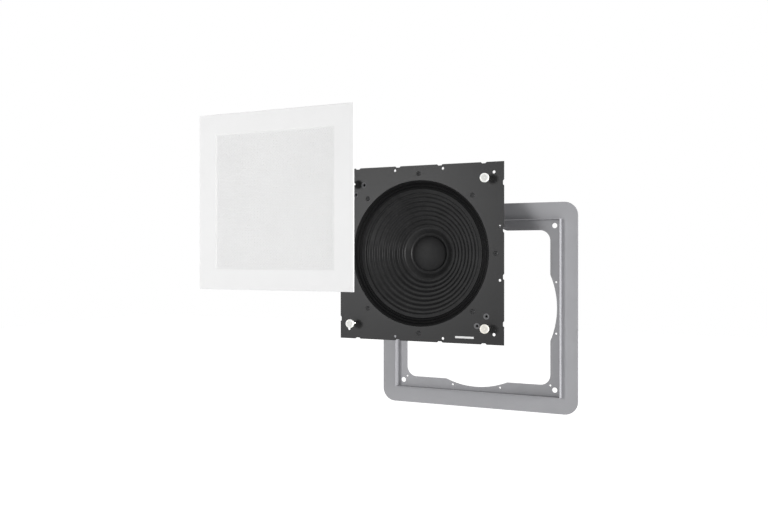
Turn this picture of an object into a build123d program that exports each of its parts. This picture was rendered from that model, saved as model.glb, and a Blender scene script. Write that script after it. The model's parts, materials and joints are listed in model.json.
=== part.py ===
from build123d import *
import os
from math import cos, radians, sin

# In wall speaker, laid out the way it comes apart: the grille in front, then the driver
# plate with its woofer, then the frame that is fixed in the wall.
# Sizes are in mm. +X is right, +Z is up, and the front faces -Y. The origin is the centre
# of the wall frame's inner ledge, on the ledge's back face.
# Each group is drawn lying down, with its front at z = 0 and its depth running down from
# there, and is stood up at the end. A depth is always measured from the group's own front.

# Layout: how far each group stands from its place in the closed speaker
driver_apart = (-69.0, -99.0, 93.0)
grille_apart = (-274.0, -223.0, 181.5)

# Driver plate
plate_size = 300.0
plate_thick = 2.0
opening_r = 124.5
notch_pitch = 77.0
notch_mouth = 10.0
notch_floor = 6.0
notch_deep = 2.0
notches_per_side = 4
side_hole_r = 2.25
side_hole_inset = 7.0
side_hole_spread = 88.0
corner_hole_r = 2.6
corner_hole_inset = 17.0
sink_hole_r = 2.0
sink_mouth_r = 5.0
sink_circle_r = 158.6
sink_half_angle = 4.15
press_nut_r = 4.0
press_nut_thick = 5.0
press_nut_floor = 1.0

# Magnet stand-offs that hold the grille
magnet_inset = 27.5
magnet_reach = 19.5
magnet_r = 7.5
magnet_thick = 4.0
magnet_dish_r = 5.4
magnet_dish_deep = 0.4
magnet_mark_r = 1.0
magnet_mark_deep = 0.6
post_r = 2.4
post_grip = 1.8
post_gap = 0.1
post_tail = 2.8
nut_flats = 8.0
nut_thick = 2.4

# Woofer frame, its gasket and its screws
gasket_thick = 1.4
gasket_beyond = 5.5
flange_beyond = 17.5
flange_gap = 1.1
basket_wall = 1.6
straight_wall = 11.0
screw_beyond = 11.5
screw_count = 8
screw_r = 2.0
screw_head_r = 4.0
screw_head_high = 2.0
screw_gap = 0.1
screw_socket_flats = 2.5
screw_socket_deep = 1.2
arm_count = 8
arm_width = 16.0
window_beyond = 8.0
window_margin = 3.0

# Surround, with concentric rolls like an accordion
surround_thick = 0.8
surround_outer_land = 5.0
surround_inner_land = 4.5
roll_count = 3
roll_height = 2.2

# Cone, with ribs moulded round its front, and its dust cap
cone_r = 110.2
cone_land = 5.7
cone_thick = 0.6
cone_sink = 4.1
cone_drop = 36.0
rib_count = 8
rib_height = 2.0
first_rib_fall = 3.0
rib_end_r = 49.4
neck_crest_r = 44.5
neck_crest_drop = 1.2
groove_r = 38.0
cap_r = 31.5
cap_edge_drop = 4.9
cap_rise = 6.0
cap_thick = 0.8
neck_drop = 10.0

# Voice coil and spider
former_r = 25.4
former_wall = 0.4
former_overlap = 1.0
former_below_coil = 1.0
winding_thick = 1.0
winding_length = 9.0
glue_gap = 0.1
spider_thick = 0.6
spider_drop = 2.5
spider_roll_height = 1.6
spider_rolls = 3
spider_collar = 4.0
spider_land = 8.0
spider_cup = 3.0
spider_edge_gap = 1.0

# Motor
shelf_r = 70.0
shelf_width = 10.0
bottom_hole_r = 38.0
bottom_drop = 5.8
shelf_wall = 3.4
coil_gap = 0.6
top_plate_r = 55.0
top_plate_thick = 5.0
ring_magnet_r = 62.0
ring_magnet_hole_r = 33.0
ring_magnet_thick = 11.0
back_plate_r = 57.0
back_plate_thick = 5.0
vent_r = 6.0

# Terminal board, behind the basket's lowest window
board_width = 22.0
board_gap = 1.4
board_length = 41.0
board_thick = 1.6
rivet_r = 1.5
rivet_head_r = 2.6
rivet_head_thick = 0.8
rivet_spread = 12.0
tab_width = 4.8
tab_thick = 0.8
tab_spread = 11.0
tab_inset = 21.0
tab_length = 28.0
lead_r = 0.9
lead_bend_r = 4.0
lead_gap = 0.3
lead_rise = 15.0
lead_droop = 5.0
lead_ribs_in = 2

# Grille
grille_border = 34.5
grille_thick = 2.4
grille_lip = 0.8
sheet_thick = 0.8
cloth_thick = 0.5
sheet_overlap = 5.0
sheet_gap = 0.3

# Wall frame
recess_gap = 1.0
recess_depth = 13.0
ledge_thick = 2.0
frame_wall = 1.2
lip_rise = 11.0
rim_thick = 2.0
edge_round = 0.5
rim_width = 28.5
rim_corner_r = 23.5
ledge_width = 18.0
aperture_corner_r = 18.0
flange_room = 2.5
frame_hole_r = 4.5
frame_hole_inset = 10.5
frame_screw_r = 1.75

# Radii and depths that several pieces share, with depths from the plate's front
flange_r = opening_r + flange_beyond
gasket_inner_r = opening_r + gasket_beyond
screw_circle_r = opening_r + screw_beyond
window_inner_r = shelf_r + window_beyond
bottom_r = shelf_r - shelf_width
rib_pitch = (cone_r - rib_end_r) / rib_count
board_inner_r = bottom_r + basket_wall + board_gap
flange_front = plate_thick + gasket_thick
flange_back = flange_front + basket_wall
basket_inner_r = opening_r - flange_gap
basket_r = basket_inner_r + basket_wall
rim_depth = flange_front + cone_sink
rib_end_depth = rim_depth + cone_drop
cap_edge_depth = rib_end_depth + cap_edge_drop
neck_depth = rib_end_depth + neck_drop
spider_depth = neck_depth + spider_drop
shelf_depth = spider_depth - spider_cup + spider_thick
bottom_depth = shelf_depth + bottom_drop
motor_front = bottom_depth + basket_wall
magnet_front = motor_front + top_plate_thick
back_plate_front = magnet_front + ring_magnet_thick
woofer_back = back_plate_front + back_plate_thick
coil_outer_r = former_r + glue_gap + winding_thick
half_plate = plate_size / 2
magnet_place = half_plate - magnet_inset
corner_place = half_plate - corner_hole_inset
side_place = half_plate - side_hole_inset
recess_size = plate_size + 2 * recess_gap
frame_depth = recess_depth + ledge_thick
driver_depth = recess_depth - plate_thick


def slab(face, front, back):
    """A flat piece with the given outline, from one depth to another."""
    return extrude(Pos(0, 0, -back) * face, back - front)


def turned(points):
    """A round piece, from the half section that (radius, depth) points outline."""
    outline = Polyline(*[(r, 0, -depth) for r, depth in points], close=True)
    return revolve(make_face(outline), Axis.Z)


def drum(radius, front, back):
    return slab(Circle(radius), front, back)


def ring(outer_r, inner_r, front, back):
    return slab(Circle(outer_r) - Circle(inner_r), front, back)


def square(side):
    return Rectangle(side, side)


def corners(place):
    return [(x, y) for x in (-place, place) for y in (-place, place)]


def around(radius, count, first=0.0):
    """Places spread evenly round a circle."""
    turns = [radians(first + 360 * i / count) for i in range(count)]
    return [(radius * cos(t), radius * sin(t)) for t in turns]


def side_places():
    """Two screw holes beside the middle of each side."""
    near = side_hole_spread / 2
    flat = [(x, y) for x in (-near, near) for y in (-side_place, side_place)]
    return flat + [(y, x) for x, y in flat]


def sink_places():
    """Two countersunk holes astride the diagonal, at the upper left and lower right."""
    turns = [middle + side * sink_half_angle for middle in (135, -45) for side in (-1, 1)]
    return [(sink_circle_r * cos(radians(t)), sink_circle_r * sin(radians(t))) for t in turns]


def many(piece, places):
    return Compound(children=[Pos(x, y, 0) * piece for x, y in places])


def countersink():
    """The cutter for a hole through the plate whose mouth is a cone, from a little in front."""
    lead = 0.5
    slope = (sink_mouth_r - sink_hole_r) / plate_thick
    return turned([(0, -lead), (sink_mouth_r + slope * lead, -lead), (sink_hole_r, plate_thick),
                   (sink_hole_r, plate_thick + lead), (0, plate_thick + lead)])


def zigzag(start, end, count, height):
    """Crests and valleys, evenly spaced, on the straight line between two (radius, depth) points."""
    steps = 2 * count
    points = []
    for i in range(1, steps):
        share = i / steps
        r = start[0] + share * (end[0] - start[0])
        depth = start[1] + share * (end[1] - start[1])
        points.append((r, depth + (height / 2 if i % 2 == 0 else -height / 2)))
    return [start] + points + [end]


def thickened(points, thick):
    """A thin folded sheet: the front line, and the same line again behind it."""
    return turned(points + [(r, depth + thick) for r, depth in reversed(points)])


def notch_face():
    """One notch in the plate's upper edge, a little past the edge."""
    slope = (notch_mouth - notch_floor) / 2 / notch_deep
    wide, narrow, past = notch_mouth / 2, notch_floor / 2, 1.0
    edge = half_plate
    floor, mouth = edge - notch_deep, edge + past
    return make_face(Polyline((-narrow, floor), (narrow, floor), (wide + slope * past, mouth),
                              (-wide - slope * past, mouth), close=True))


def baffle_plate():
    face = square(plate_size) - Circle(opening_r)
    first = -notch_pitch * (notches_per_side - 1) / 2
    notch = notch_face()
    for side in range(4):
        for i in range(notches_per_side):
            face -= Rot(0, 0, 90 * side) * Pos(first + i * notch_pitch, 0, 0) * notch
    for x, y in side_places():
        face -= Pos(x, y) * Circle(side_hole_r)
    for x, y in corners(corner_place):
        face -= Pos(x, y) * Circle(corner_hole_r)
    for x, y in corners(magnet_place):
        face -= Pos(x, y) * Circle(post_r + post_gap)
    for x, y in around(screw_circle_r, screw_count):
        face -= Pos(x, y) * Circle(screw_r + screw_gap)
    return slab(face, 0, plate_thick) - many(countersink(), sink_places())


def magnet_discs():
    """Each disc has a shallow dish in front, with a small mark at its centre."""
    back = magnet_thick - magnet_reach
    dish_floor = magnet_dish_deep - magnet_reach
    disc = drum(magnet_r, -magnet_reach, back)
    rim = disc.edges().filter_by(GeomType.CIRCLE).group_by(Axis.Z)[-1]
    disc = fillet(rim, magnet_thick / 5)
    disc -= drum(magnet_dish_r, -magnet_reach, dish_floor)
    disc -= drum(magnet_mark_r, dish_floor, dish_floor + magnet_mark_deep)
    disc -= drum(post_r + post_gap, back - post_grip, back)
    return many(disc, corners(magnet_place))


def magnet_posts():
    back = magnet_thick - magnet_reach
    return many(drum(post_r, back - post_grip, plate_thick + post_tail), corners(magnet_place))


def post_nuts():
    face = RegularPolygon(nut_flats / 2, 6, major_radius=False) - Circle(post_r + post_gap)
    return many(slab(face, plate_thick, plate_thick + nut_thick), corners(magnet_place))


def press_nuts():
    """Closed nuts behind the countersunk holes."""
    nut = drum(press_nut_r, plate_thick, plate_thick + press_nut_thick)
    nut -= drum(sink_hole_r, plate_thick, plate_thick + press_nut_thick - press_nut_floor)
    return many(nut, sink_places())


def gasket():
    body = ring(flange_r, gasket_inner_r, plate_thick, flange_front)
    hole = drum(screw_r + 2 * screw_gap, plate_thick, flange_front)
    return body - many(hole, around(screw_circle_r, screw_count))


def basket_screws():
    """Button heads with a hexagon socket, through the plate and the gasket into the flange."""
    head = dome_line(screw_head_r, -screw_head_high, screw_head_high)
    shank = Polyline((screw_head_r, 0, 0), (screw_r, 0, 0), (screw_r, 0, -flange_back),
                     (0, 0, -flange_back), (0, 0, screw_head_high))
    screw = revolve(make_face([head, shank]), Axis.Z)
    socket = RegularPolygon(screw_socket_flats / 2, 6, major_radius=False)
    screw -= slab(socket, -screw_head_high, screw_socket_deep - screw_head_high)
    return many(screw, around(screw_circle_r, screw_count))


def basket():
    """A pressed steel basket: flange, straight wall, windowed slope, spider shelf and floor."""
    wall_end = flange_front + straight_wall
    wall = basket_wall
    inside = [(flange_r, flange_front), (basket_inner_r, flange_front), (basket_inner_r, wall_end),
              (shelf_r, shelf_depth - shelf_wall), (shelf_r, shelf_depth), (bottom_r, shelf_depth),
              (bottom_r, bottom_depth), (bottom_hole_r, bottom_depth)]
    outside = [(bottom_hole_r, motor_front), (bottom_r + wall, motor_front),
               (bottom_r + wall, shelf_depth + wall), (shelf_r + wall, shelf_depth + wall),
               (shelf_r + wall, shelf_depth - shelf_wall + wall), (basket_r, wall_end + wall),
               (basket_r, flange_back), (flange_r, flange_back)]
    body = turned(inside + outside)
    window = Circle(basket_inner_r - window_margin) - Circle(window_inner_r)
    for i in range(arm_count):
        turn = 360 * (i + 0.5) / arm_count
        window -= Rot(0, 0, turn) * Pos(opening_r / 2, 0, 0) * Rectangle(opening_r, arm_width)
    body -= slab(window, flange_back, motor_front)
    hole = drum(screw_r + screw_gap / 2, flange_front, flange_back)
    body -= many(hole, around(screw_circle_r, screw_count))
    rivet_hole = drum(rivet_r + glue_gap, shelf_depth, shelf_depth + wall)
    return body - many(rivet_hole, rivet_places())


def surround():
    """Its outer land lies on the flange, and its inner land is glued behind the cone's rim."""
    front = flange_front - surround_thick
    outer = basket_inner_r + surround_outer_land
    inner_front = rim_depth + cone_thick
    rolls = zigzag((basket_inner_r, front), (cone_r, inner_front), roll_count, roll_height)
    return thickened([(outer, front)] + rolls + [(cone_r - surround_inner_land, inner_front)], surround_thick)


def rib_line_depth(r):
    """Depth of the line that the cone's ribs ride on, at a radius."""
    first_r, first_depth = cone_r - rib_pitch, rim_depth + first_rib_fall
    return rib_end_depth - (rib_end_depth - first_depth) * (r - rib_end_r) / (first_r - rib_end_r)


def cone():
    """Folded paper of one thickness: the broad rim, the ribs, the last low crest, and the neck
    at the bottom of the groove that runs round the dust cap."""
    first_r = cone_r - rib_pitch
    ribs = zigzag((first_r, rib_line_depth(first_r)), (rib_end_r, rib_end_depth), rib_count - 1, rib_height)
    return thickened([(cone_r, rim_depth), (cone_r - cone_land, rim_depth)] + ribs
                     + [(neck_crest_r, rib_end_depth + neck_crest_drop), (groove_r, neck_depth),
                        (former_r + glue_gap, neck_depth)], cone_thick)


def dome_line(radius, top, rise):
    """An arc in the section, from the rim of a shallow dome to its top."""
    sphere_r = (radius ** 2 + rise ** 2) / (2 * rise)
    half = radius / 2
    half_depth = top + sphere_r - (sphere_r ** 2 - half ** 2) ** 0.5
    return ThreePointArc((radius, 0, -top - rise), (half, 0, -half_depth), (0, 0, -top))


def dust_cap():
    """A shallow dome whose skirt stands on the cone's neck."""
    top = cap_edge_depth - cap_rise
    outer = dome_line(cap_r, top, cap_rise)
    inner = dome_line(cap_r - cap_thick, top + cap_thick, cap_rise - cap_thick)
    foot = glue_gap - neck_depth
    skirt = Polyline(outer @ 0, (cap_r, 0, foot), (cap_r - cap_thick, 0, foot), inner @ 0)
    return revolve(make_face([outer, inner, skirt, Line(outer @ 1, inner @ 1)]), Axis.Z)


def coil_end():
    """Depth of the winding's far end: the winding is centred in the magnet gap."""
    return (motor_front + magnet_front + winding_length) / 2


def coil_former():
    return ring(former_r, former_r - former_wall, neck_depth - former_overlap, coil_end() + former_below_coil)


def coil_winding():
    return ring(coil_outer_r, former_r + glue_gap, coil_end() - winding_length, coil_end())


def spider():
    """A cupped ring of rolls: its land is glued to the shelf, and its collar to the coil former."""
    outer = shelf_r - spider_edge_gap
    land_depth = spider_depth - spider_cup
    start = (outer - spider_land, land_depth)
    end = (former_r + spider_collar, spider_depth)
    line = [(outer, land_depth)] + zigzag(start, end, spider_rolls, spider_roll_height)
    return thickened(line + [(former_r + glue_gap, spider_depth)], spider_thick)


def top_plate():
    return ring(top_plate_r, coil_outer_r + coil_gap, motor_front, magnet_front)


def ring_magnet():
    return ring(ring_magnet_r, ring_magnet_hole_r, magnet_front, back_plate_front)


def pole_piece():
    """The back plate with its pole, turned as one, with a vent down the middle."""
    pole_r = former_r - former_wall - coil_gap
    return turned([(vent_r, motor_front), (pole_r, motor_front), (pole_r, back_plate_front),
                   (back_plate_r, back_plate_front), (back_plate_r, woofer_back), (vent_r, woofer_back)])


def rivet_places():
    return [(x, -(board_inner_r + shelf_r) / 2) for x in (-rivet_spread / 2, rivet_spread / 2)]


def terminal_board():
    front = shelf_depth + basket_wall
    face = Pos(0, -board_inner_r - board_length / 2) * Rectangle(board_width, board_length)
    face = fillet(face.vertices(), board_thick)
    for x, y in rivet_places():
        face -= Pos(x, y) * Circle(rivet_r + glue_gap)
    return slab(face, front, front + board_thick)


def board_rivets():
    front = shelf_depth
    back = shelf_depth + basket_wall + board_thick
    head = rivet_head_thick
    rivet = turned([(0, front), (rivet_r, front), (rivet_r, back), (rivet_head_r, back),
                    (rivet_head_r, back + head), (0, back + head)])
    return many(rivet, rivet_places())


def terminal_tabs():
    front = shelf_depth + basket_wall + board_thick
    face = Rectangle(tab_width, tab_length)
    hole = Pos(0, tab_width - tab_length / 2) * Circle(tab_width / 4)
    tab = slab(face - hole, front, front + tab_thick)
    place = board_inner_r + tab_inset + tab_length / 2
    return many(tab, [(x, -place) for x in (-tab_spread / 2, tab_spread / 2)])


def tinsel_leads():
    """Two soft leads from the board, through the lowest window, to a valley of the cone's ribs."""
    start = shelf_depth + basket_wall - lead_gap
    end_r = rib_end_r + lead_ribs_in * rib_pitch
    end = rib_line_depth(end_r) + rib_height / 2 + cone_thick + lead_gap
    board_r = board_inner_r + tab_inset + lead_bend_r
    route = [(board_r, start), (board_r, start - lead_rise), (end_r + lead_bend_r, end + lead_droop),
             (end_r, end)]
    path = FilletPolyline(*[(0, -r, -depth) for r, depth in route], radius=lead_bend_r)
    lead = sweep(Plane(path @ 0, z_dir=path % 0) * Circle(lead_r), path=path)
    return many(lead, [(-tab_spread / 2, 0), (tab_spread / 2, 0)])


def grille_frame():
    window = grille_window()
    border = slab(square(plate_size) - square(window), 0, grille_thick)
    return border - slab(square(window + 2 * sheet_overlap + 2 * sheet_gap), grille_lip, grille_thick)


def grille_window():
    return plate_size - 2 * grille_border


def perforated_sheet():
    return slab(square(grille_window() + 2 * sheet_overlap), grille_lip, grille_lip + sheet_thick)


def scrim_cloth():
    front = grille_lip + sheet_thick
    return slab(square(grille_window() + 2 * sheet_overlap), front, front + cloth_thick)


def wall_frame():
    """The rim lies on the wall, and the lip, recess walls and ledge are folded in one with it."""
    box = recess_size + 2 * frame_wall
    rim_size = box + 2 * rim_width
    rim = slab(RectangleRounded(rim_size, rim_size, rim_corner_r), lip_rise, lip_rise + rim_thick)
    rim = fillet(rim.edges().group_by(Axis.Z)[-1], edge_round)
    lip = slab(square(box), 0, frame_depth)
    lip = fillet(lip.edges().group_by(Axis.Z)[-1], edge_round)
    body = rim + lip - slab(square(recess_size), 0, frame_depth)
    opening = recess_size - 2 * ledge_width
    ledge = square(box) - RectangleRounded(opening, opening, aperture_corner_r)
    ledge -= Circle(flange_r + flange_room)
    for x, y in corners(recess_size / 2 - frame_hole_inset):
        ledge -= Pos(x, y) * Circle(frame_hole_r)
    for x, y in side_places() + [(-corner_place, -corner_place), (corner_place, -corner_place)]:
        ledge -= Pos(x, y) * Circle(frame_screw_r)
    return body + slab(ledge, recess_depth, frame_depth)


def stood(shape, shift):
    """Stands a flat-drawn piece up, with its front to -Y, and moves it to its place."""
    return Pos(*shift) * Rot(90, 0, 0) * shape


def write(pieces, apart, depth):
    x, y, z = apart
    for piece in pieces:
        shape = stood(piece(), (x, y + depth - frame_depth, z))
        export_step(shape, f"parts/{piece.__name__}.step")


grille_pieces = [grille_frame, perforated_sheet, scrim_cloth]
driver_pieces = [baffle_plate, magnet_discs, magnet_posts, post_nuts, press_nuts, gasket, basket_screws, basket,
                 surround, cone, dust_cap, coil_former, coil_winding, spider, top_plate, ring_magnet,
                 pole_piece, terminal_board, board_rivets, terminal_tabs, tinsel_leads]

os.makedirs("parts", exist_ok=True)
write(grille_pieces, grille_apart, 0)
write(driver_pieces, driver_apart, driver_depth)
write([wall_frame], (0, 0, 0), 0)
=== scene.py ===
"""An in wall speaker, laid out the way it comes apart: the grille in front, then the driver plate
with its woofer, then the frame that stays in the wall.

The frame gives every place and main size. Each piece is built by its own operator, and the sizes
and colours that a user would change are in the property groups. Lengths are in metres."""

import json
from math import cos, pi, radians, sin

import bmesh
import bpy
from bpy.props import FloatProperty, FloatVectorProperty, IntProperty, PointerProperty
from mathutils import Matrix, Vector
from mathutils.geometry import delaunay_2d_cdt

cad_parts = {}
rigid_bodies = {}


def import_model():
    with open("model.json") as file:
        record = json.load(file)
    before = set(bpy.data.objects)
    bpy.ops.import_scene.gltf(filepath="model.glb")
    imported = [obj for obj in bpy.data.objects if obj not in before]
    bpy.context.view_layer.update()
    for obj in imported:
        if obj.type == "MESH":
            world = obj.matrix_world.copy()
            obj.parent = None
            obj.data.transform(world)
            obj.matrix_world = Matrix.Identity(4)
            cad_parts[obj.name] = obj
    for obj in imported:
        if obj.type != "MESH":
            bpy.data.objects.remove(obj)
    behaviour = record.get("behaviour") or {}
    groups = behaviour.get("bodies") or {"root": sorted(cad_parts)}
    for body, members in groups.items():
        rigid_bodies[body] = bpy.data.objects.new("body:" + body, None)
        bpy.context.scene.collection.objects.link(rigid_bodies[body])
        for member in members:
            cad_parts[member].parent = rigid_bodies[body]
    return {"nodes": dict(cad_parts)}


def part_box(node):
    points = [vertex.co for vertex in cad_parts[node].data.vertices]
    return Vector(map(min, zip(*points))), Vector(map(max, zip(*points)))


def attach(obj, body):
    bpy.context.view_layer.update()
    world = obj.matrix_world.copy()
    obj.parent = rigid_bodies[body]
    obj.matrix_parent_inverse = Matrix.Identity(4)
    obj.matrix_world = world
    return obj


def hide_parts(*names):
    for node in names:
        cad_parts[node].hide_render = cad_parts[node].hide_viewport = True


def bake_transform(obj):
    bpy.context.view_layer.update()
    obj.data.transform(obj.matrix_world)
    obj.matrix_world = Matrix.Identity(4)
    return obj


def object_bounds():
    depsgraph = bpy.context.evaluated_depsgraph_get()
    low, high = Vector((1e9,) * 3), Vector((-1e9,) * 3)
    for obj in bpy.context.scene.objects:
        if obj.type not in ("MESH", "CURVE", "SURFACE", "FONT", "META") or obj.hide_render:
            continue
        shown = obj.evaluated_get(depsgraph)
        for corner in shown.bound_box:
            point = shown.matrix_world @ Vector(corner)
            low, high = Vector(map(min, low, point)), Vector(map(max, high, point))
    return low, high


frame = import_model()
cad_low, cad_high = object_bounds()

bl_info = {
    "name": "In wall speaker",
    "version": (1, 0, 0),
    "blender": (4, 5, 0),
    "location": "3D Viewport > Sidebar > Speaker",
    "description": "Builds an in wall speaker in three groups around its packed model",
    "category": "Object",
}

MM = 0.001
MICRON = 0.001 * MM
CLEARANCE = 0.1 * MM  # room between a piece and what it fits on or through
HARD_EDGE = 32  # degrees: a sharper edge is shaded hard
FOLD_EDGE = 60  # the same for thin folded sheets
RIM_STEPS = 3  # steps in the rounding of a plate's edge
HOLE_SIDES = 32  # sides of a small round hole
WAVE_BANDS = 3.18  # bands that a wave texture of scale 1 lays in a metre
FACTOR_RANGE = (0.3, 0.7)  # the part of a texture's range that a finish makes use of


# Properties

def length(name, description, millimetres):
    return FloatProperty(name=name, description=description, default=millimetres * MM,
                         unit="LENGTH", subtype="DISTANCE", precision=5)


def colour(name, description, red, green, blue):
    return FloatVectorProperty(name=name, description=description, default=(red, green, blue),
                               subtype="COLOR", size=3, min=0.0, max=1.0)


def number_of(name, description, count, least):
    return IntProperty(name=name, description=description, default=count, min=least)


def lengths(name, description, *metres):
    return FloatVectorProperty(name=name, description=description, default=metres, size=len(metres),
                               subtype="XYZ", unit="LENGTH")


def wattage(name, description, watts):
    return FloatProperty(name=name, description=description, default=watts, unit="POWER")


def angle(name, description, degrees):
    return FloatProperty(name=name, description=description, default=radians(degrees), subtype="ANGLE")


class GrilleSettings(bpy.types.PropertyGroup):
    """The white grille in front."""

    border: length("Border", "Width of the plain border round the window", 34.5)
    corner: length("Corner", "Corner radius of the border and its window", 0.8)
    sheet_corner: length("Sheet corner", "Corner radius of the perforated sheet", 0.5)
    cloth_corner: length("Cloth corner", "Corner radius of the cloth", 0.6)
    edge_soft: length("Edge rounding", "How far the border's edges are rounded", 0.5)
    window_soft: length("Window rounding", "How far the window's edge is rounded", 0.35)
    sheet_overlap: length("Sheet overlap", "How far the sheet reaches behind the border", 5.0)
    sheet_gap: length("Sheet gap", "Room round the perforated sheet in its rebate", 0.3)
    hole_pitch: length("Hole pitch", "Distance between the perforations", 3.0)
    hole_radius: length("Hole radius", "Radius of each perforation", 0.72)
    white: colour("White", "Colour of the powder coat", 0.835, 0.835, 0.835)
    # The sheet is laid a little darker than the border: partly its own coat, partly painted shade for
    # the shade of its perforations.
    sheet: colour("Sheet", "Colour of the perforated sheet", 0.80, 0.80, 0.80)
    # The cloth is laid lighter than the sheet: partly its own white, partly painted light that cancels
    # the shade in the perforations in front of it.
    cloth: colour("Cloth", "Colour of the cloth behind the window", 0.93, 0.93, 0.93)


class DriverSettings(bpy.types.PropertyGroup):
    """The driver plate and everything fixed to it."""

    opening_radius: length("Opening", "Radius of the plate's round opening", 124.5)
    plate_soft: length("Plate edge rounding", "How far the plate's sheared edges are rounded", 0.25)
    notch_pitch: length("Notch pitch", "Distance between the notches of a side", 77.0)
    notch_mouth: length("Notch mouth", "Width of a notch at the plate's edge", 10.0)
    notch_floor: length("Notch floor", "Width of a notch at its floor", 6.0)
    notch_deep: length("Notch depth", "How far a notch reaches in", 2.0)
    side_hole: length("Side hole", "Radius of the holes beside each side's middle", 2.25)
    side_inset: length("Side hole inset", "Distance of these holes from the edge", 7.0)
    side_spread: length("Side hole spread", "Distance between the two holes of a side", 88.0)
    corner_hole: length("Corner hole", "Radius of the hole in each corner", 2.6)
    corner_inset: length("Corner hole inset", "Distance of the corner hole from the edges", 17.0)
    sink_hole: length("Sunk hole", "Radius of the countersunk holes behind", 2.0)
    sink_mouth: length("Sunk hole mouth", "Radius of the countersunk holes in front", 5.0)
    sink_circle: length("Sunk hole circle", "Distance of the countersunk holes from the middle", 158.6)
    sink_angle: angle("Sunk hole angle", "Angle of these holes from the diagonal", 4.15)
    magnet_inset: length("Magnet inset", "Distance of the magnet discs from the edges", 27.5)
    dish_radius: length("Dish", "Radius of the shallow dish in a magnet disc", 5.4)
    dish_deep: length("Dish depth", "Depth of that dish", 0.4)
    mark_radius: length("Mark", "Radius of the mark in the middle of a magnet disc", 1.0)
    mark_deep: length("Mark depth", "Depth of that mark", 0.6)
    grip_deep: length("Post grip", "How far a post reaches into its disc", 1.8)
    thread_pitch: length("Thread pitch", "Pitch of the thread on the posts", 0.8)
    thread_deep: length("Thread depth", "Depth of the thread on the posts", 0.3)
    screw_circle: length("Screw circle", "Radius of the circle of the woofer's screws", 136.0)
    screw_head: length("Screw head", "Radius of a screw's button head", 4.0)
    screw_high: length("Screw head height", "Height of a screw's button head", 2.0)
    screw_hole: length("Screw hole", "Radius of a screw's hole in the plate", 2.1)
    socket_flats: length("Socket", "Width across the flats of a screw's socket", 2.5)
    socket_deep: length("Socket depth", "Depth of a screw's socket", 1.2)
    screw_count: number_of("Screws", "Screws round the woofer", 8, 3)
    surround_land: length("Surround land", "Width of the surround's outer land", 5.0)
    surround_glue: length("Surround glue land", "Width of the land behind the cone's rim", 4.5)
    surround_thick: length("Surround thickness", "Thickness of the surround", 0.8)
    surround_height: length("Roll height", "Height of a roll of the surround", 2.2)
    surround_rolls: number_of("Rolls", "Rolls of the surround", 3, 1)
    cone_land: length("Cone rim", "Width of the cone's broad rim", 5.7)
    cone_thick: length("Cone thickness", "Thickness of the cone's paper", 0.6)
    cone_drop: length("Cone depth", "Depth of the ribbed part of the cone", 36.0)
    rib_count: number_of("Ribs", "Ribs round the cone, its rim among them", 8, 2)
    rib_height: length("Rib height", "Height of a rib of the cone", 2.7)
    rib_soft: length("Rib softness", "How far back from its edge a fold of the cone is rounded", 0.8)
    neck_soft: length("Neck softness", "The same for the bends beside the groove", 2.2)
    rib_fall: length("First fall", "Depth of the first valley behind the rim", 3.0)
    rib_end: length("Rib end", "Radius at which the ribs end", 49.4)
    crest_radius: length("Last crest", "Radius of the low crest inside the ribs", 44.5)
    crest_drop: length("Last crest depth", "Depth of that crest behind the last rib", 1.2)
    groove_radius: length("Groove", "Outer radius of the bottom of the groove round the dust cap", 35.5)
    cap_rise: length("Cap rise", "How far the dust cap's dome rises above its skirt", 8.6)
    cap_thick: length("Cap thickness", "Thickness of the dust cap", 0.8)
    spider_land: length("Spider land", "Width of the spider's outer land", 8.0)
    spider_collar: length("Spider collar", "Width of the spider's flat collar behind the cone", 11.0)
    spider_thick: length("Spider thickness", "Thickness of the spider", 0.6)
    spider_cup: length("Spider cup", "How far the collar lies behind the land", 3.0)
    spider_height: length("Spider roll height", "Height of a roll of the spider", 1.6)
    spider_rolls: number_of("Spider rolls", "Rolls of the spider", 3, 1)
    strip_place: lengths("Strip", "Middle of the blank strip, from the plate's middle",
                         82.3 * MM, -139.6 * MM)
    strip_size: lengths("Strip size", "Length, height and thickness of the strip",
                        32.5 * MM, 3.4 * MM, 0.12 * MM)
    black: colour("Black", "Colour of the plate's powder coat", 0.0155, 0.0155, 0.016)
    white: colour("White", "Colour of the magnet discs", 0.87, 0.87, 0.85)
    ivory: colour("Ivory", "Colour of the yellowed disc, at the lower right", 0.84, 0.81, 0.74)
    # The grey of the dish faces is painted shade: each disc's dish is laid darker than the disc, as if
    # shade fell in it.
    face: colour("Magnet face", "Colour of the faces inside the magnet discs", 0.74, 0.74, 0.71)
    pulp: colour("Paper", "Colour of the cone", 0.0175, 0.0175, 0.0178)
    cap: colour("Dust cap", "Colour of the dust cap", 0.0115, 0.0115, 0.0118)


class FrameSettings(bpy.types.PropertyGroup):
    """The frame that is fixed in the wall."""

    wall: length("Wall", "Thickness of the lip and the recess walls", 1.2)
    rim_width: length("Rim width", "Width of the rim that lies on the wall", 28.5)
    rim_corner: length("Rim corner", "Corner radius of the rim", 23.5)
    lip_corner: length("Lip corner", "Corner radius of the lip and the recess", 0.7)
    lip_rise: length("Lip rise", "How far the lip stands in front of the rim", 11.0)
    rim_thick: length("Rim thickness", "Thickness of the rim", 2.0)
    ledge_thick: length("Ledge thickness", "Thickness of the ledge", 2.0)
    bend_soft: length("Bend radius", "How far the frame's bends are rounded", 0.5)
    hole_soft: length("Hole rounding", "How far the edges of holes and aperture are rounded", 0.2)
    ledge_width: length("Ledge width", "Width of the ledge beside the recess walls", 18.0)
    aperture_corner: length("Aperture corner", "Corner radius of the aperture", 18.0)
    woofer_radius: length("Woofer room", "Radius of the round room for the woofer", 144.5)
    fixing_hole: length("Fixing hole", "Radius of the large hole in each corner", 4.5)
    fixing_inset: length("Fixing hole inset", "Distance of these holes from the recess walls", 10.5)
    screw_hole: length("Screw hole", "Radius of the small holes", 1.75)
    grey: colour("Grey", "Colour of the powder coat", 0.312, 0.312, 0.327)


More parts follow.
